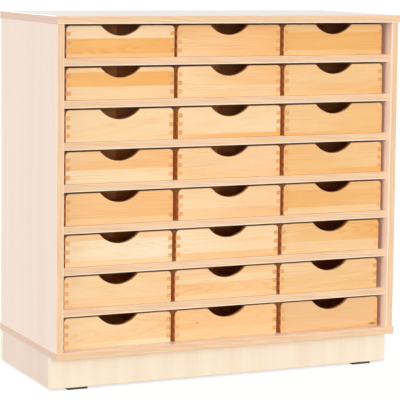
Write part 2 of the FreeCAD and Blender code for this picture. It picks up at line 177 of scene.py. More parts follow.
maple_print.links.new(reckon(maple_print, "MULTIPLY_ADD", streaks, *PRINT_ROUGH), result["Roughness"])
maple_print.links.new(reckon(maple_print, "SUBTRACT", hairlines, pores), result["Height"])

UPRIGHT = (0.0, 0.0, 0.0)
LEVEL = (0.0, math.pi / 2, 0.0)         # turns the figure from Z to X


def coated_board(name, figure_turn, pale, deep):
    """Maple print under a clear melamine coat, with new_finish's other results for what is added to it."""
    material, tree, shader, place = new_finish(name)
    turned = put(tree, "Mapping", {"Vector": place, "Rotation": figure_turn}).outputs[0]
    face = use_group(tree, maple_print, {"Place": turned, "Pale": screen(*pale), "Deep": screen(*deep)})
    tree.links.new(face["Color"], shader["Base Color"])
    tree.links.new(face["Roughness"], shader["Roughness"])
    relief(tree, shader, face["Height"], PRINT_DEPTH, PRINT_RELIEF)
    return material, tree, shader, place


def plinth_board(name, pale, deep):
    """Coated board with the bare chipboard core along its lower edge."""
    material, tree, shader, place = coated_board(name, UPRIGHT, pale, deep)
    height = put(tree, "SeparateXYZ", {0: place}).outputs[2]
    core_shows = reckon(tree, "LESS_THAN", height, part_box("plinth_front")[0].z + SAWN_EDGE)
    chips = put(tree, "TexVoronoi", {"Vector": place, "Scale": CHIPS}, feature="F1").outputs["Distance"]
    sawn = blend_colours(tree, ramp(tree, chips, *CHIP_SPREAD), screen(*CHIPS_PALE), screen(*CHIPS_DEEP))
    printed = shader["Base Color"].links[0].from_socket
    tree.links.new(blend_colours(tree, core_shows, printed, sawn), shader["Base Color"])
    return material


dress(("plinth_front", "plinth_back"), plinth_board("plinth front board", PLINTH_PALE, PLINTH_DEEP))
# The side boards take the darker tones: painted shade.
dress(("plinth_left", "plinth_right"), plinth_board("plinth side board", PLINTH_DIM_PALE, PLINTH_DIM_DEEP))


# Battens: two planed spruce strips inside the plinth, glued to its front and back board. The screws that hold
# the bottom panel go up through them.
SPRUCE = (226, 190, 142)
SPRUCE_RING = 0.0026                    # from one ring to the next
SPRUCE_PITH = (0, 0.03, 0.02)           # how far the batten lies from its log's pith
PLANED_DEPTH = 0.00006

# Sawn wood, with the log's pith along X at y = z = 0. The rings are soft and sway a little, the fibres are
# fine and long, and the log has one knot, at its origin. Each noise has so many features to the metre along
# the grain and twice across it, and so much finer detail.
WOOD_NOISE = {
    "sway": ((6, 26, 26), 2.0),
    "patches": ((9, 30, 30), 1.0),
    "clouds": ((7, 50, 50), 2.0),
    "streaks": ((5, 260, 260), 3.0),
    "fibres": ((26, 1500, 1500), 2.0),
    "pores": ((330, 2300, 2300), 1.0),
    "speckle": ((900, 900, 900), 2.0),
}
SWAY = 4.5                              # how many rings' width the rings sway
LATEWOOD = (-0.4, 1.0)                  # the height of a ring's swing, from early to late wood
PATCHES = (0.38, 0.66)                  # the patch noise's heights, from no rings to full rings
WOOD_TONE = (1.2, 1.1, 0.9, 0.35)       # how much late wood, clouds, streaks and fibres deepen the tone
WOOD_SPREAD = (0.65, 2.05)              # their sums where the wood is palest and where it is deepest
WOOD_PORES = (0.60, 0.70)               # the noise's heights between which a pore opens
PORE_SHARE = 0.35                       # how far a pore takes on its own tint
WOOD_ROUGH = (0.16, 0.34)               # roughness: what the streaks add, and what there is without them
WOOD_RELIEF = 0.6                       # how strongly the bumps show
PALE_TINT = (1.03, 1.08, 1.14, 1)       # early wood against the wood's own colour, and late wood
DEEP_TINT = (0.96, 0.86, 0.70, 1)
PORE_TINT = (0.80, 0.68, 0.52, 1)
SPECKLE = (0.3, 0.7)                    # the speckle noise's heights, from the end grain's pale to its deep
KNOT_SHAPE = (0.25, 1, 1)               # a knot is cut aslant, so it is four times as long as it is wide
KNOT_CORE = (0.0006, 0.0030)            # where its core fades, and where its rim does, from and to
KNOT_EDGE = (0.001, 0.0055)
RIM_SHARE = 0.8                         # how far the rim takes on its own colour
KNOT = (160, 84, 8)
KNOT_RIM = (222, 144, 48)
END_PALE = (222, 150, 84)
END_DEEP = (192, 118, 58)
sawn_wood, given, result = make_group(
    "sawn wood",
    {"Place": "Vector", "Wood": "Color", "Ring": "Float", "Figure": "Float", "End": "Float"},
    {"Color": "Color", "Roughness": "Float", "Height": "Float"},
)
place = given["Place"]
sway, patches, clouds, streaks, fibres, pores, speckle = (
    grain(sawn_wood, place, *noise) for noise in WOOD_NOISE.values()
)
across = put(sawn_wood, "VectorMath", {0: place, 1: (0, 1, 1)}, operation="MULTIPLY").outputs[0]
radius = put(sawn_wood, "VectorMath", {0: across}, operation="LENGTH").outputs["Value"]
rings = reckon(sawn_wood, "DIVIDE", radius, given["Ring"])
rings = reckon(sawn_wood, "MULTIPLY_ADD", sway, SWAY, rings)
swing = reckon(sawn_wood, "SINE", reckon(sawn_wood, "MULTIPLY", rings, 2 * math.pi))
latewood = reckon(sawn_wood, "MULTIPLY", ramp(sawn_wood, swing, *LATEWOOD), given["Figure"])
latewood = reckon(sawn_wood, "MULTIPLY", latewood, ramp(sawn_wood, patches, *PATCHES))
depth = weigh(sawn_wood, *zip((latewood, clouds, streaks, fibres), WOOD_TONE))
depth = ramp(sawn_wood, depth, *WOOD_SPREAD)
pale = blend_colours(sawn_wood, 1.0, given["Wood"], PALE_TINT, "MULTIPLY")
deep = blend_colours(sawn_wood, 1.0, given["Wood"], DEEP_TINT, "MULTIPLY")
planed = blend_colours(sawn_wood, depth, pale, deep)
pores = ramp(sawn_wood, pores, *WOOD_PORES)
in_pore = reckon(sawn_wood, "MULTIPLY", pores, PORE_SHARE)
planed = blend_colours(sawn_wood, in_pore, planed, PORE_TINT, "MULTIPLY")
speckle = ramp(sawn_wood, speckle, *SPECKLE)
end_tone = blend_colours(sawn_wood, speckle, screen(*END_PALE), screen(*END_DEEP))
ended = blend_colours(sawn_wood, given["End"], planed, end_tone)
from_knot = put(sawn_wood, "VectorMath", {0: place, 1: KNOT_SHAPE}, operation="MULTIPLY").outputs[0]
from_knot = put(sawn_wood, "VectorMath", {0: from_knot}, operation="LENGTH").outputs["Value"]
round_knot = ramp(sawn_wood, from_knot, *KNOT_EDGE)
round_knot = reckon(sawn_wood, "MULTIPLY_ADD", round_knot, -RIM_SHARE, RIM_SHARE)
in_knot = reckon(sawn_wood, "SUBTRACT", 1.0, ramp(sawn_wood, from_knot, *KNOT_CORE))
knotted = blend_colours(sawn_wood, round_knot, ended, screen(*KNOT_RIM))
sawn_wood.links.new(blend_colours(sawn_wood, in_knot, knotted, screen(*KNOT)), result["Color"])
sawn_wood.links.new(reckon(sawn_wood, "MULTIPLY_ADD", streaks, *WOOD_ROUGH), result["Roughness"])
sawn_wood.links.new(reckon(sawn_wood, "SUBTRACT", fibres, pores), result["Height"])


def planed_wood(name, wood, ring, figure, turn, pith):
    """Bare wood for a CAD node. The turn brings the grain to X, and pith shifts it in its log after that."""
    material, tree, shader, place = new_finish(name)
    in_log = put(tree, "Mapping", {"Vector": place, "Rotation": turn, "Location": pith}).outputs[0]
    face = use_group(tree, sawn_wood, {"Place": in_log, "Wood": screen(*wood), "Ring": ring, "Figure": figure,
                                       "End": 0.0})
    tree.links.new(face["Color"], shader["Base Color"])
    tree.links.new(face["Roughness"], shader["Roughness"])
    relief(tree, shader, face["Height"], PLANED_DEPTH, WOOD_RELIEF)
    return material


dress(("plinth_batten_front", "plinth_batten_back"),
      planed_wood("spruce batten", SPRUCE, SPRUCE_RING, figure=1.0, turn=(0, 0, 0), pith=SPRUCE_PITH))


# Dowels: beech pins glued into blind holes, at the corners of the plinth and the case and at the shelves'
# ends. Nothing of them shows once the cabinet is together.
BEECH_PIN = (224, 184, 138)
BEECH_RING = 0.0022
PIN_PITH = (0, 0.01, 0.01)
dowel_turns = {
    "case_dowels": (0, math.pi / 2, 0),
    "shelf_dowels": (0, 0, 0),
    "plinth_dowels": (0, 0, math.pi / 2),
}
for node, turn in dowel_turns.items():
    pin = planed_wood(f"beech pin {node}", BEECH_PIN, BEECH_RING, figure=0.6, turn=turn, pith=PIN_PITH)
    dress([node], pin)


# Screws: countersunk, with a hexagonal socket, zinc plated. Eight hold the bottom panel to the battens and
# eight hold the glides.
ZINC = (196, 200, 204)
ZINC_DULL = (0.8, 0.8, 0.82, 1)         # the dull patches against the zinc's own colour
ZINC_SPANGLE = (700, 700, 700)          # patches of the plating to the metre
ZINC_SPREAD = (0.35, 0.65)              # the patches' heights, from dull to bright
ZINC_ROUGH = (0.3, 0.18)                # roughness: what the patches add, and what there is without them
zinc, tree, shader, place = new_finish("zinc plate", metallic=1.0)
mottle = grain(tree, place, ZINC_SPANGLE, detail=3.0)
bright = ramp(tree, mottle, *ZINC_SPREAD)
dulled = blend_colours(tree, 1.0, screen(*ZINC), ZINC_DULL, "MULTIPLY")
tree.links.new(blend_colours(tree, bright, dulled, screen(*ZINC)), shader["Base Color"])
tree.links.new(reckon(tree, "MULTIPLY_ADD", mottle, *ZINC_ROUGH), shader["Roughness"])
dress(("plinth_screws", "glide_screws"), zinc)


# Glides: four flat black plastic pads under the plinth's front and back board, held by two screws each. The
# spark-eroded mould leaves them dull, and they are rubbed lighter in places.
GLIDE_BLACK = (28, 28, 30)
GLIDE_RUBBED = (48, 47, 48)
ERODED = (2600, 2600, 2600)             # pits to the metre
ERODED_DEPTH = 0.00008
ERODED_RELIEF = 0.7                     # how strongly the pits show
RUBS = (90, 90, 40)                     # rubbed patches to the metre
RUB_SPREAD = (0.42, 0.7)                # the patches' heights, from black to rubbed
RUB_ROUGH = (-0.14, 0.56)               # roughness: what a rub adds, and what there is without one
glide_plastic, tree, shader, place = new_finish("glide plastic")
rubbed = ramp(tree, grain(tree, place, RUBS, detail=3.0), *RUB_SPREAD)
tree.links.new(blend_colours(tree, rubbed, screen(*GLIDE_BLACK), screen(*GLIDE_RUBBED)), shader["Base Color"])
tree.links.new(reckon(tree, "MULTIPLY_ADD", rubbed, *RUB_ROUGH), shader["Roughness"])
relief(tree, shader, grain(tree, place, ERODED), ERODED_DEPTH, ERODED_RELIEF)
dress([f"glide_{end}_{side}" for end in ("front", "back") for side in ("left", "right")], glide_plastic)


# Case boards: bottom panel, two side panels, seven fixed shelves and top panel, all of the plinth's kind of
# board. The side panels stand between the bottom and the top panel, and dowels hold every joint.
SHELVES = 7
BOARD_PALE = (253, 231, 214)
BOARD_DEEP = (247, 222, 203)
TOP_SHEEN_PALE = (247, 231, 221)              # the top panel's tones, a shade cooler: a painted sheen
TOP_SHEEN_DEEP = (241, 222, 210)
dress(("side_left", "side_right"), coated_board("side board", UPRIGHT, BOARD_PALE, BOARD_DEEP)[0])
dress(["bottom_panel"] + [f"shelf_{number}" for number in range(1, SHELVES + 1)],
      coated_board("level board", LEVEL, BOARD_PALE, BOARD_DEEP)[0])
# The top panel's cooler tones are a painted sheen of the pale light that its face reflects.
dress(["top_panel"], coated_board("top board", LEVEL, TOP_SHEEN_PALE, TOP_SHEEN_DEEP)[0])


# Back panel: a thinner coated board, its figure upright. It sits without glue in a groove that runs round the
# inside of the case.
dress(["back_panel"], coated_board("back board", UPRIGHT, BOARD_PALE, BOARD_DEEP)[0])


# Edging: 2 mm plastic strips glued over the boards' sawn edges, the outer edges rounded with a cutter. The
# roundings carry a painted highlight. The print is a little warmer and stronger than the boards', and runs
# slightly aslant.
EDGING_PALE = (251, 214, 175)
EDGING_DEEP = (235, 193, 150)
# Painted highlights: the tones of the upper or outer rounding and of the lower or inner one
TOP_HIGHLIGHT = (252, 226, 203)
FOOT_HIGHLIGHT = (255, 244, 222)
END_SHADE = (225, 190, 169)              # the cabinet's two end strips, greyer and plainer: painted shade
END_SHADE_SHARE = 0.75                        # how much of that painted shade there is in them
STRIPES = 330                           # stripes to the metre, across the strip
STRIPE_RUN = 7                          # breaks to the metre, along it
LEAN = 0.06                             # how far the stripes climb in a metre of strip
EDGING_THICK = 0.002
BOARD_HALF = 0.009                      # half of a board's thickness
ROUNDING = 0.0016                       # how far from the board's upper or outer face the painted highlight begins
FOOT_REACH = 0.00304                    # how far from its lower or inner face it begins,
FOOT_FULL = 0.00192                     # and how far from there it is full
EDGING_TONE = (1.0, 0.35, 0.15)         # how much stripes, fine stripes and broad ones deepen the tone
EDGING_SPREAD = (0.5, 1.0)              # their sums where the strip is palest and where it is deepest
edging_print, given, result = make_group(
    "edging print",
    {"Place": "Vector", "Along": "Vector", "Across": "Vector"},
    {"Color": "Color", "Height": "Float"},
)
along = put(edging_print, "VectorMath", {0: given["Place"], 1: given["Along"]}, operation="DOT_PRODUCT")
across = put(edging_print, "VectorMath", {0: given["Place"], 1: given["Across"]}, operation="DOT_PRODUCT")
flat = put(edging_print, "CombineXYZ", {0: along.outputs["Value"], 1: across.outputs["Value"]}).outputs[0]
stripes = grain(edging_print, flat, (STRIPE_RUN, STRIPES, 1))
fine = grain(edging_print, flat, (4 * STRIPE_RUN, 4 * STRIPES, 1))
broad = grain(edging_print, flat, (STRIPE_RUN / 5, STRIPES / 6, 1), detail=1.0)
share = weigh(edging_print, *zip((stripes, fine, broad), EDGING_TONE))
share = ramp(edging_print, share, *EDGING_SPREAD)
printed = blend_colours(edging_print, share, screen(*EDGING_PALE), screen(*EDGING_DEEP))
edging_print.links.new(printed, result["Color"])
edging_print.links.new(fine, result["Height"])


def edging(name, along, across, from_middle, low_glint=0.0, high_glint=0.0):
    """Edging whose stripes run along one direction and lie side by side in the other. from_middle reckons
    how far a point is from the board's middle, and the glint shares say how strongly the roundings on both
    sides take a painted highlight."""
    material, tree, shader, place = new_finish(name, roughness=0.22)
    face = use_group(tree, edging_print, {"Place": place, "Along": along, "Across": across})
    offset = from_middle(tree, place)
    low = ramp(tree, offset, FOOT_REACH - BOARD_HALF, FOOT_FULL - BOARD_HALF)
    high = ramp(tree, offset, BOARD_HALF - ROUNDING, BOARD_HALF)
    colour = face["Color"]
    # Painted highlight on the roundings
    for share, where, tone in ((low_glint, low, FOOT_HIGHLIGHT), (high_glint, high, TOP_HIGHLIGHT)):
        if share:
            colour = blend_colours(tree, reckon(tree, "MULTIPLY", where, share), colour, screen(*tone))
    sideways = reckon(tree, "ABSOLUTE", put(tree, "SeparateXYZ", {0: place}).outputs[0])
    # Painted shade: the strips at the cabinet's two ends are blended towards a greyer, plainer tone.
    at_end = reckon(tree, "GREATER_THAN", sideways, cabinet_end - EDGING_THICK)
    at_end = reckon(tree, "MULTIPLY", at_end, END_SHADE_SHARE)
    tree.links.new(blend_colours(tree, at_end, colour, screen(*END_SHADE)), shader["Base Color"])
    relief(tree, shader, face["Height"], PRINT_DEPTH, PRINT_RELIEF)
    return material


lowest_middle = sum(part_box("bottom_panel"), Vector()).z / 2
next_middle = sum(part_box(f"shelf_{SHELVES}"), Vector()).z / 2
board_pitch = next_middle - lowest_middle
upright_middle = sum(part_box("side_right"), Vector()).x / 2
cabinet_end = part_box("edging_top")[1].x


def above_board(tree, place):
    """How far a point is above the middle of the nearest level board."""
    height = reckon(tree, "SUBTRACT", put(tree, "SeparateXYZ", {0: place}).outputs[2], lowest_middle)
    return reckon(tree, "WRAP", height, board_pitch / 2, -board_pitch / 2)


def outside_board(tree, place):
    """How far a point is outside the middle of the side panel."""
    sideways = reckon(tree, "ABSOLUTE", put(tree, "SeparateXYZ", {0: place}).outputs[0])
    return reckon(tree, "SUBTRACT", sideways, upright_middle)


dress(("edging_top", "edging_shelves"),
      edging("shelf edging", (1, 1, 0), (LEAN, LEAN, 1), above_board, low_glint=1.0, high_glint=0.5))
dress(["edging_bottom"],
      edging("bottom edging", (1, 1, 0), (LEAN, LEAN, 1), above_board, high_glint=0.7))
dress(("edging_side_left", "edging_side_right"),
      edging("upright edging", (0, 0, 1), (1, 1, LEAN / 4), outside_board, low_glint=0.6, high_glint=1.0))


# Trays: loose boxes of 11 mm beech, finger-jointed and glued. Each wall is cut flat, with the fingers and the
# groove for the floor; the two long upper edges are rounded, and the front has a finger notch.
WALL = 0.011
FINGER = 0.010                          # height of one finger
FINGER_FEET = (0.010, 0.030, 0.050)     # lower edges of the side walls' fingers
LONG_ROUNDING = 0.0095                  # of the two long upper edges
LONG_STEPS = 10
NOTCH_WIDTH = 0.098
NOTCH_DEPTH = 0.0235
NOTCH_STEPS = 160                       # sides of the round cutter
GROOVE_LOW = 0.005
GROOVE_HIGH = 0.0092
GROOVE_DEPTH = 0.005
EASED = 0.0013                          # sanded rounding of the rim and of the corners
EASED_STEPS = 3
BROKEN = 0.00018                        # sandpaper's touch on every other edge
BROKEN_FROM = math.radians(60)          # edges sharper than this are broken
SMOOTH = math.radians(35)               # and blunter ones than this are shaded smooth
SQUARE = 0.9                            # a direction whose share of an axis is over this runs along it
TINY = 1e-5                             # places that differ by less are the same
CLOSE = 10 * TINY                       # and so are they on a rounding, which is made of straight edges

tray_low, tray_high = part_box("tray_r1_c1")
tray_width, tray_length, tray_height = tray_high - tray_low
notch_radius = (NOTCH_WIDTH ** 2 / 4 + NOTCH_DEPTH ** 2) / (2 * NOTCH_DEPTH)
notch_middle = tray_height - NOTCH_DEPTH + notch_radius


def edit(act):
    """Runs the act in edit mode on the active object, with nothing selected to start with."""
    bpy.ops.object.mode_set(mode="EDIT")
    bpy.ops.mesh.select_mode(type="FACE")
    bpy.ops.mesh.select_all(action="DESELECT")
    act()
    bpy.ops.object.mode_set(mode="OBJECT")


def pick_faces(test):
    """Selects the faces whose middle passes the test."""
    bpy.ops.mesh.select_mode(type="FACE")
    shape = bmesh.from_edit_mesh(bpy.context.object.data)
    for face in shape.faces:
        face.select_set(test(face.calc_center_median()))
    bmesh.update_edit_mesh(bpy.context.object.data)


def pick_edges(test):
    """Selects the edges whose middle and direction pass the test."""
    bpy.ops.mesh.select_all(action="DESELECT")
    bpy.ops.mesh.select_mode(type="EDGE")
    shape = bmesh.from_edit_mesh(bpy.context.object.data)
    for edge in shape.edges:
        start, end = (vertex.co for vertex in edge.verts)
        edge.select_set(test((start + end) / 2, (end - start).normalized()))
    bmesh.update_edit_mesh(bpy.context.object.data)


def saw(level, direction):
    """Cuts a line right round the mesh where it crosses a plane."""
    bpy.ops.mesh.select_all(action="SELECT")
    bpy.ops.mesh.bisect(plane_co=Vector(direction) * level, plane_no=direction)


def cut_away(board, cutter):
    """Takes the cutter's shape out of the board, and the cutter away."""
    bpy.context.view_layer.objects.active = board
    bpy.ops.object.modifier_add(type="BOOLEAN")
    board.modifiers[-1].object = cutter
    board.modifiers[-1].operation = "DIFFERENCE"
    bpy.ops.object.modifier_apply(modifier=board.modifiers[-1].name)
    bpy.data.objects.remove(cutter)


def block(low, high):
    """A plain block between two corners."""
    middle = (Vector(low) + Vector(high)) / 2
    bpy.ops.mesh.primitive_cube_add(size=1, location=middle, scale=Vector(high) - Vector(low))
    bpy.ops.object.transform_apply()
    return bpy.context.object


def finger_board(name, length, gaps, lines=()):
    """A wall on edge along X, with its outer face at y = 0. gaps are the heights between its fingers, and
    lines are more upright divisions of the mesh."""
    bpy.ops.mesh.primitive_plane_add(size=1, rotation=(math.pi / 2, 0, 0))
    bpy.ops.object.transform_apply()
    board = bpy.context.object
    board.name = name
    shoulder = length / 2 - WALL

    def outline():
        bpy.ops.mesh.select_all(action="SELECT")
        bpy.ops.transform.resize(value=(length, 1, tray_height))
        bpy.ops.transform.translate(value=(0, 0, tray_height / 2))
        for side in (-1, 1):
            saw(side * shoulder, (1, 0, 0))
        for level in sorted({level for gap in gaps for level in gap}):
            saw(level, (0, 0, 1))
        pick_faces(lambda middle: abs(middle.x) > shoulder
                   and any(low < middle.z < high for low, high in gaps))
        bpy.ops.mesh.delete(type="FACE")
        pick_faces(lambda middle: abs(middle.x) < shoulder)
        bpy.ops.mesh.dissolve_faces()
        for line in lines:
            saw(line, (1, 0, 0))
        bpy.ops.mesh.select_all(action="SELECT")
        bpy.ops.mesh.extrude_region_move(TRANSFORM_OT_translate={"value": (0, WALL, 0)})
        bpy.ops.mesh.select_all(action="SELECT")
        bpy.ops.mesh.normals_make_consistent(inside=False)

    edit(outline)
    reach = shoulder + GROOVE_DEPTH
    cut_away(board, block((-reach, WALL - GROOVE_DEPTH, GROOVE_LOW), (reach, 2 * WALL, GROOVE_HIGH)))
    return board


def round_edges(test, radius, steps):
    """Rounds the edges that pass the test."""
    pick_edges(test)
    bpy.ops.mesh.bevel(offset=radius, segments=steps, affect="EDGES")


finger_gaps = [(foot, foot + FINGER) for foot in FINGER_FEET]
side_gaps = [(-TINY, FINGER_FEET[0])]
side_gaps += [(low + FINGER, high) for low, high in zip(FINGER_FEET, FINGER_FEET[1:])]
side_gaps += [(FINGER_FEET[-1] + FINGER, tray_height + TINY)]
end_corner = Vector((tray_width / 2 - LONG_ROUNDING, tray_height - LONG_ROUNDING))


def on_outer_corner(middle, direction):
    """Whether an edge of an end wall is one of its two upper corners."""
    at_corner = middle.z > tray_height - TINY and abs(middle.x) > tray_width / 2 - TINY
    return abs(direction.y) > SQUARE and at_corner


def on_corner_post(middle, direction, length):
    """Whether an edge is one of the tray's upright outer corners."""
    return abs(direction.z) > SQUARE and abs(middle.x) > length / 2 - TINY and middle.y < TINY


def on_top(middle, direction):
    """Whether an edge runs along a side wall's top."""
    return abs(direction.x) > SQUARE and middle.z > tray_height - TINY


def on_rim(middle, direction):
    """Whether an edge of an end wall lies on its rim: its top, its rounded corners or its notch."""
    if abs(direction.y) > SQUARE:
        return False
    corner = Vector((abs(middle.x), middle.z)) - end_corner
    on_corner = min(corner) > 0 and abs(corner.length - LONG_ROUNDING) < CLOSE
    on_notch = abs(math.hypot(middle.x, middle.z - notch_middle) - notch_radius) < CLOSE
    return middle.z > tray_height - TINY or on_corner or on_notch


def is_eased(middle, direction):
    """Whether an edge of an end wall is sanded round."""
    return on_rim(middle, direction) or on_corner_post(middle, direction, tray_width)


front_pattern = finger_board("front pattern", tray_width, finger_gaps, (-NOTCH_WIDTH / 2, 0, NOTCH_WIDTH / 2))
edit(lambda: round_edges(on_outer_corner, LONG_ROUNDING, LONG_STEPS))
bpy.ops.mesh.primitive_cylinder_add(vertices=NOTCH_STEPS, radius=notch_radius, depth=6 * WALL,
                                    location=(0, 0, notch_middle), rotation=(math.pi / 2, 0, 0))
bpy.ops.object.transform_apply()
cut_away(front_pattern, bpy.context.object)
edit(lambda: round_edges(is_eased, EASED, EASED_STEPS))

back_pattern = finger_board("back pattern", tray_width, finger_gaps)
edit(lambda: round_edges(on_outer_corner, LONG_ROUNDING, LONG_STEPS))
edit(lambda: round_edges(is_eased, EASED, EASED_STEPS))

side_pattern = finger_board("side pattern", tray_length, side_gaps)
edit(lambda: round_edges(lambda middle, direction: on_top(middle, direction) and middle.y < TINY,
                         LONG_ROUNDING, LONG_STEPS))
edit(lambda: round_edges(lambda middle, direction: on_corner_post(middle, direction, tray_length)
                         or on_top(middle, direction) and middle.y > WALL - TINY, EASED, EASED_STEPS))

# Tray floor: a 4 mm sheet of birch plywood. It lies without glue in the groove of all four walls, and the
# grain of its face veneer runs from front to back.
SHEET_PLAY = 0.0005
SHEET_LOW = 0.0051
SHEET_HIGH = 0.0091
sheet_x = tray_width / 2 - WALL + GROOVE_DEPTH - SHEET_PLAY
sheet_y = WALL - GROOVE_DEPTH + SHEET_PLAY
floor_pattern = block((-sheet_x, sheet_y, SHEET_LOW), (sheet_x, tray_length - sheet_y, SHEET_HIGH))
floor_pattern.name = "floor pattern"

# What the walls are glued up from: staves of beech of several tones, from near white to amber
TONES = {
    "white": (252, 229, 196),
    "ivory": (252, 224, 184),
    "cream": (251, 214, 165),
    "straw": (250, 206, 154),
    "apricot": (249, 198, 139),
    "honey": (248, 189, 122),
    "gold": (249, 188, 111),
    "amber": (244, 176, 93),
    # Painted shade: the next four are straw, apricot, honey and amber a shade darker, for the right-hand
    # column's fronts, where the light falls off.
    "dim_straw": (246, 206, 154),
    "dim_apricot": (245, 199, 140),
    "dim_honey": (244, 190, 123),
    "dim_amber": (241, 180, 102),
    "russet": (241, 163, 93),
    # Clay, on the right-hand column's lowest front, is its own tone, written a little deeper as painted
    # shade.
    "clay": (238, 190, 136),
    "cedar": (244, 174, 102),
}
FINGER_END = (250, 187, 120)            # the side walls' fingers, sanded flush with the front
FINGER_DARKENING = (0.05, 0.5)          # how much of the dark end grain shows in them, from and to

# How a stave lies in its log: how far its face is from the pith and its middle above it, how much the face
# nears the pith along its length, how much the grain runs out of the stave, and how strong the rings show
FIGURES = {
    "straight": (0.010, 0.090, 0.00, 0.02, 0.40),
    "slanting": (0.020, 0.070, 0.05, 0.15, 0.25),
    "cathedral": (0.030, 0.004, 0.10, 0.05, 0.36),
    "flame": (0.026, 0.012, 0.12, 0.10, 0.70),
    "plain": (0.060, 0.060, 0.02, 0.05, 0.25),
}
BEECH_GROWTH = 0.0055                   # from one ring to the next
LOG_LENGTH = (1, 9)                     # where along its log a stave is cut, from and to
LOG_SPREAD = (0.8, 1.3)                 # how far a stave may differ from its figure's places, from and to
RUNOUT_SPREAD = (0.7, 1.2)

# The staves of each front from its lower edge up: upper edge in millimetres, tone at the left and at the
# right end, and figure. The last one reaches the top.
# The right-hand column's fronts take the dim tones: painted shade where the light falls off.
FRONT_STAVES = {
    (1, 1): ((9, "apricot", "honey", "straight"), (44, "gold", "amber", "flame"),
             (74, "ivory", "cream", "plain")),
    (1, 2): ((42, "straw", "honey", "straight"), (74, "apricot", "honey", "plain")),
    (1, 3): ((13, "dim_apricot", "dim_honey", "straight"), (55, "dim_amber", "dim_amber", "plain"),
             (74, "dim_apricot", "dim_honey", "straight")),
    (2, 1): ((30, "cream", "straw", "straight"), (63, "gold", "amber", "plain"),
             (74, "straw", "straw", "plain")),
    (2, 2): ((28, "cream", "straw", "straight"), (74, "cream", "honey", "plain")),
    (2, 3): ((28, "dim_apricot", "dim_honey", "plain"), (74, "dim_apricot", "dim_apricot", "slanting")),
    (3, 1): ((74, "cream", "cream", "slanting"),),
    (3, 2): ((10, "apricot", "amber", "straight"), (74, "cream", "cream", "slanting")),
    (3, 3): ((6, "dim_amber", "dim_honey", "straight"), (74, "dim_apricot", "dim_honey", "plain")),
    (4, 1): ((31, "ivory", "cream", "straight"), (52, "apricot", "honey", "plain"),
             (74, "straw", "honey", "plain")),
    (4, 2): ((19, "straw", "apricot", "plain"), (74, "straw", "straw", "plain")),
    (4, 3): ((13, "dim_honey", "dim_amber", "straight"), (74, "dim_honey", "dim_apricot", "plain")),
    (5, 1): ((14, "straw", "apricot", "straight"), (74, "apricot", "honey", "straight")),
    (5, 2): ((26, "straw", "apricot", "plain"), (74, "cream", "straw", "plain")),
    (5, 3): ((16, "dim_straw", "dim_straw", "straight"), (57, "dim_amber", "dim_honey", "straight"),
             (74, "dim_honey", "dim_honey", "plain")),
    (6, 1): ((12, "cream", "cream", "straight"), (60, "ivory", "white", "cathedral"),
             (74, "straw", "straw", "plain")),
    (6, 2): ((16, "straw", "apricot", "plain"), (74, "ivory", "cream", "plain")),
    (6, 3): ((27, "dim_straw", "dim_straw", "straight"), (74, "dim_apricot", "dim_amber", "flame")),
    (7, 1): ((18, "straw", "straw", "straight"), (74, "cream", "straw", "slanting")),
    (7, 2): ((12, "cream", "straw", "straight"), (40, "apricot", "apricot", "cathedral"),
             (58, "cream", "cream", "plain"), (74, "straw", "apricot", "plain")),
    (7, 3): ((38, "dim_apricot", "dim_apricot", "plain"), (74, "dim_straw", "dim_apricot", "straight")),
    (8, 1): ((12, "cream", "ivory", "straight"), (74, "cream", "straw", "cathedral")),
    (8, 2): ((26, "straw", "straw", "straight"), (74, "apricot", "apricot", "plain")),
    (8, 3): ((74, "clay", "clay", "slanting"),),
}
KNOTS = {                               # fronts with a knot: its place, and how many times smaller it is made
    (8, 2): ((-0.077, 0.0, 0.041), 3.0),
    (8, 3): ((0.121, 0.0, 0.0062), 1.0),
}

RIM_HIGHLIGHT = (255, 224, 180)                # a painted highlight on the rim's rounding, paler than the wood
RIM_HIGHLIGHT_SHARE = 0.6
NOTCH_HIGHLIGHT = 0.45                     # the notch's own rim against the rest of it, a weaker painted highlight
GRAIN_DEPTH = 0.00005
beech, tree, shader, _ = new_finish("lacquered beech", coat=0.12, coat_roughness=0.25)
in_log = put(tree, "Attribute", {}, attribute_name="in_log").outputs["Vector"]
stock = put(tree, "Attribute", {}, attribute_name="stock").outputs["Color"]
figure = put(tree, "Attribute", {}, attribute_name="figure").outputs["Fac"]
end_grain_and_shade = put(tree, "Attribute", {}, attribute_name="end_grain_and_shade").outputs["Fac"]
face = use_group(tree, sawn_wood, {"Place": in_log, "Wood": stock, "Ring": BEECH_GROWTH, "Figure": figure,
                                   "End": end_grain_and_shade})
# Painted highlight: the rim is blended towards a paler tone.
highlight = put(tree, "Attribute", {}, attribute_name="highlighted_rim").outputs["Fac"]
highlight = reckon(tree, "MULTIPLY", highlight, RIM_HIGHLIGHT_SHARE)
tree.links.new(blend_colours(tree, highlight, face["Color"], screen(*RIM_HIGHLIGHT)), shader["Base Color"])
tree.links.new(face["Roughness"], shader["Roughness"])
relief(tree, shader, face["Height"], GRAIN_DEPTH, WOOD_RELIEF)

PLY = (243, 180, 118)
PLY_RING = 0.012
PLY_FIGURE = 0.5
ACROSS_TRAY = (0, 0, math.pi / 2)       # the veneer's grain runs from front to back
VENEER_LIFT = (0, 0, 0.3)               # it is peeled far from the pith
plywood, tree, shader, place = new_finish("birch plywood")
turned = put(tree, "Mapping", {"Vector": place, "Rotation": ACROSS_TRAY, "Location": VENEER_LIFT}).outputs[0]
face = use_group(tree, sawn_wood, {"Place": turned, "Wood": screen(*PLY), "Ring": PLY_RING,
                                   "Figure": PLY_FIGURE, "End": 0.0})
tree.links.new(face["Color"], shader["Base Color"])
tree.links.new(face["Roughness"], shader["Roughness"])
relief(tree, shader, face["Height"], GRAIN_DEPTH, WOOD_RELIEF)

chance = random.Random(24)              # the same draws on every run

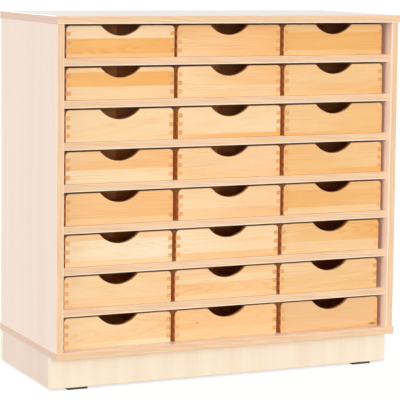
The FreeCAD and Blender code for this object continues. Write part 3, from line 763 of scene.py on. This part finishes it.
# How squarely a face of a wall looks along an axis if it is
FINGER_FACING = 0.7                     # a side wall's finger, flush with the tray's front or back: along X
END_FACING = 0.5                        # sawn across the grain: along X
ROUNDING_FACING = (0.8, 0.15)           # rounded: less than the first along Y, more than the second upwards
RIM_FACING = (0.9, 0.99)                # given the painted rim highlight, beside the outer face: outwards, from and to
UPWARD_GRAIN_AND_SHADE = 0.5                # how much of the end grain's tone an upward face takes: end grain and painted shade


def glue_up(board, staves, length, knot=None):
    """Marks the wall's staves, and writes where each lies in its log, its tone, its end grain with the
    painted shade on its tops, and its rim's painted highlight.
    """
    def mark_joints():
        for stave in staves[:-1]:
            saw(stave[0] / 1000, (0, 0, 1))

    edit(mark_joints)
    mesh = board.data
    in_log = mesh.attributes.new("in_log", "FLOAT_VECTOR", "CORNER")
    stock = mesh.attributes.new("stock", "FLOAT_VECTOR", "CORNER")
    figure = mesh.attributes.new("figure", "FLOAT", "FACE")
    end_grain_and_shade = mesh.attributes.new("end_grain_and_shade", "FLOAT", "FACE")
    highlighted_rim = mesh.attributes.new("highlighted_rim", "FLOAT", "FACE")
    is_end_wall = length < tray_length
    finger_end = Vector(screen(*FINGER_END)[:3])
    darkening = [chance.uniform(*FINGER_DARKENING) for _ in range(math.ceil(tray_height / FINGER))]
    low = 0.0
    for top, left, right, look in staves:
        high = top / 1000
        depth, lift, nearing, runout, strength = FIGURES[look]
        log_start = Vector((chance.uniform(*LOG_LENGTH), depth * chance.uniform(*LOG_SPREAD),
                            lift * chance.uniform(*LOG_SPREAD)))
        runout *= chance.choice((-1, 1)) * chance.uniform(*RUNOUT_SPREAD)
        tones = [Vector(screen(*TONES[tone])[:3]) for tone in (left, right)]
        for face in mesh.polygons:
            if not low <= face.center.z < high:
                continue
            figure.data[face.index].value = strength
            flush = abs(face.normal.x) > FINGER_FACING and not is_end_wall
            on_rounding = abs(face.normal.y) < ROUNDING_FACING[0] and face.normal.z > ROUNDING_FACING[1]
            if flush:
                end_grain_and_shade.data[face.index].value = darkening[int(face.center.z / FINGER)]
            elif abs(face.normal.x) > END_FACING:
                end_grain_and_shade.data[face.index].value = 1.0
            # Faces that turn upwards, tops and notch among them, take half the end grain's tone: end grain
            # where they cross the grain, painted shade on the tops, which lie under the board above.
            elif on_rounding:
                end_grain_and_shade.data[face.index].value = UPWARD_GRAIN_AND_SHADE
            # The rim beside the outer face takes a painted highlight, weaker on the notch.
            if RIM_FACING[0] < -face.normal.y < RIM_FACING[1]:
                in_notch = abs(face.center.x) < NOTCH_WIDTH / 2 and is_end_wall
                highlighted_rim.data[face.index].value = NOTCH_HIGHLIGHT if in_notch else 1.0
            for corner in face.loop_indices:
                at = mesh.vertices[mesh.loops[corner].vertex_index].co
                up = at.z - (low + high) / 2
                in_log.data[corner].vector = (
                    knot[1] * (at - Vector(knot[0])) if knot
                    else log_start + Vector((at.x, at.y + nearing * at.x, up + runout * at.x))
                )
                along = at.x / length + 0.5
                stock.data[corner].vector = finger_end if flush else tones[0].lerp(tones[1], along)
        low = high


def finish_board(board, name, body, material):
    """Breaks the sharp edges, smooths the shading, and puts the piece on its body."""
    board.name = name
    board.data.name = name
    board.data.materials.clear()
    board.data.materials.append(material)
    bpy.context.view_layer.objects.active = board
    board.select_set(True)
    bpy.ops.object.modifier_add(type="BEVEL")
    board.modifiers[-1].width = BROKEN
    board.modifiers[-1].segments = 1
    board.modifiers[-1].limit_method = "ANGLE"
    board.modifiers[-1].angle_limit = BROKEN_FROM
    bpy.ops.object.modifier_apply(modifier=board.modifiers[-1].name)
    bpy.ops.object.shade_smooth_by_angle(angle=SMOOTH)
    bpy.ops.object.modifier_add(type="WEIGHTED_NORMAL")
    board.modifiers[-1].keep_sharp = True
    bpy.ops.object.modifier_apply(modifier=board.modifiers[-1].name)
    board.select_set(False)
    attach(board, body)
    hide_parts(body)


def copy_of(pattern):
    """A copy of the pattern with its own mesh, which becomes the active object."""
    piece = bpy.data.objects.new(pattern.name, pattern.data.copy())
    bpy.context.scene.collection.objects.link(piece)
    bpy.context.view_layer.objects.active = piece
    return piece


WALL_TONES = ("cedar", "russet", "russet")
WALL_FIGURES = ("straight", "plain", "slanting")
WALL_JOINTS = (22, 30, 38, 46)          # where two staves may meet, in millimetres
WALL_TOP = 74                           # just above the wall


def any_staves():
    """Two staves for a side or back wall, of the redder tones."""
    tones = [chance.choice(WALL_TONES) for _ in range(2)]
    looks = [chance.choice(WALL_FIGURES) for _ in range(2)]
    joint = chance.choice(WALL_JOINTS)
    return (joint, tones[0], tones[0], looks[0]), (WALL_TOP, tones[1], tones[1], looks[1])


ROWS = 8
COLUMNS = 3
wall_places = {                         # pattern, length, turn, and where its middle comes in the tray
    "front": (front_pattern, tray_width, 0, (0, 0, 0)),
    "back": (back_pattern, tray_width, math.pi, (0, tray_length, 0)),
    "left": (side_pattern, tray_length, -math.pi / 2, (-tray_width / 2, tray_length / 2, 0)),
    "right": (side_pattern, tray_length, math.pi / 2, (tray_width / 2, tray_length / 2, 0)),
}
for row in range(1, ROWS + 1):
    for column in range(1, COLUMNS + 1):
        tray = f"tray_r{row}_c{column}"
        low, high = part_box(tray)
        seat = Matrix.Translation(((low.x + high.x) / 2, low.y, low.z))
        for wall, (pattern, length, turn, offset) in wall_places.items():
            board = copy_of(pattern)
            is_front = wall == "front"
            staves = FRONT_STAVES[row, column] if is_front else any_staves()
            glue_up(board, staves, length, KNOTS.get((row, column)) if is_front else None)
            board.data.transform(seat @ Matrix.Translation(offset) @ Matrix.Rotation(turn, 4, "Z"))
            finish_board(board, f"{tray}_{wall}", tray, beech)
        sheet = copy_of(floor_pattern)
        sheet.data.transform(seat)
        finish_board(sheet, f"{tray}_floor", tray, plywood)
for pattern in (front_pattern, back_pattern, side_pattern, floor_pattern):
    bpy.data.objects.remove(pattern)


# Studio: a wide pale floor, even light from all round, and five soft lamps. Two stand in front, one of them
# low so that it reaches into the notches, one on either side and one behind.
FLOOR_WHITE = 0.60
FLOOR_GLOW = 0.74                       # the part of the seen white that no shadow takes away,
FLOOR_SHADED = 0.38                     # and the part that a shadow can take
FLOOR_SPECULAR = 0.1
FLOOR_SIZE = 160
WHITE = (1, 1, 1, 1)
SKY = 0.42                              # the even light from all round
LAMPS = {                               # direction, level, and spread in degrees
    "front lamp": ((-0.07, -0.96, 0.26), 0.28, 30),
    "low front lamp": ((-0.34, -0.94, 0.075), 0.19, 8),
    "left lamp": ((-0.95, -0.22, 0.22), 0.43, 45),
    "right lamp": ((0.95, -0.10, 0.25), 0.20, 50),
    "rear lamp": ((0.0, 0.95, 0.30), 0.25, 30),
}


def seen_ray(tree):
    """1 where a ray shows a surface to the camera, also in a reflection or through glass, and 0 elsewhere."""
    path = tree.nodes.new("ShaderNodeLightPath").outputs
    seen = reckon(tree, "MAXIMUM", path["Is Camera Ray"], path["Is Glossy Ray"])
    return reckon(tree, "MAXIMUM", seen, path["Is Transmission Ray"])


bpy.ops.mesh.primitive_plane_add(size=FLOOR_SIZE)
floor = bpy.context.object
floor.name = "studio_floor"
floor_paint, tree, shader, _ = new_finish("floor paint", roughness=0.9)
seen = seen_ray(tree)
white = (FLOOR_WHITE, FLOOR_WHITE, FLOOR_WHITE, 1)
shaded = (FLOOR_SHADED, FLOOR_SHADED, FLOOR_SHADED, 1)
tree.links.new(blend_colours(tree, seen, white, shaded), shader["Base Color"])
tree.links.new(reckon(tree, "MULTIPLY", seen, FLOOR_GLOW), shader["Emission Strength"])
shader["Emission Color"].default_value = WHITE
shader["Specular IOR Level"].default_value = FLOOR_SPECULAR
floor.data.materials.append(floor_paint)

for name, (direction, level, spread) in LAMPS.items():
    lamp = bpy.data.lights.new(name, "SUN")
    lamp.energy = level * math.pi
    lamp.angle = math.radians(spread)
    holder = bpy.data.objects.new(name, lamp)
    holder.rotation_mode = "QUATERNION"
    holder.rotation_quaternion = Vector(direction).to_track_quat("Z", "Y")
    bpy.context.scene.collection.objects.link(holder)

world = bpy.data.worlds.new("studio")
world.use_nodes = True
bpy.context.scene.world = world
tree = world.node_tree
strength = reckon(tree, "MULTIPLY_ADD", seen_ray(tree), 1 - SKY, SKY)
tree.nodes["Background"].inputs["Color"].default_value = WHITE
tree.links.new(strength, tree.nodes["Background"].inputs["Strength"])


# Camera: a long lens, a little to the left of the cabinet and just above its top. Its shift brings the
# cabinet to the middle of the frame.
CAMERA_PLACE = (-1.8910, -4.2105, 1.0055)
CAMERA_YAW = 0.42776
CAMERA_PITCH = 0.10112
CAMERA_ROLL = 0.01144
FOCAL_LENGTH = 169.773                  # in millimetres, as is the sensor
SENSOR_WIDTH = 36
CAMERA_SHIFT = (-0.02299, -0.13018)
lens = bpy.data.cameras.new("camera")
lens.lens = FOCAL_LENGTH
lens.sensor_width = SENSOR_WIDTH
lens.shift_x, lens.shift_y = CAMERA_SHIFT
camera = bpy.data.objects.new("camera", lens)
camera.matrix_world = (
    Matrix.Translation(CAMERA_PLACE)
    @ Matrix.Rotation(-CAMERA_YAW, 4, "Z")
    @ Matrix.Rotation(math.pi / 2 - CAMERA_PITCH, 4, "X")
    @ Matrix.Rotation(CAMERA_ROLL, 4, "Z")
)
bpy.context.scene.collection.objects.link(camera)
bpy.context.scene.camera = camera
bpy.context.scene.view_settings.view_transform = "Standard"
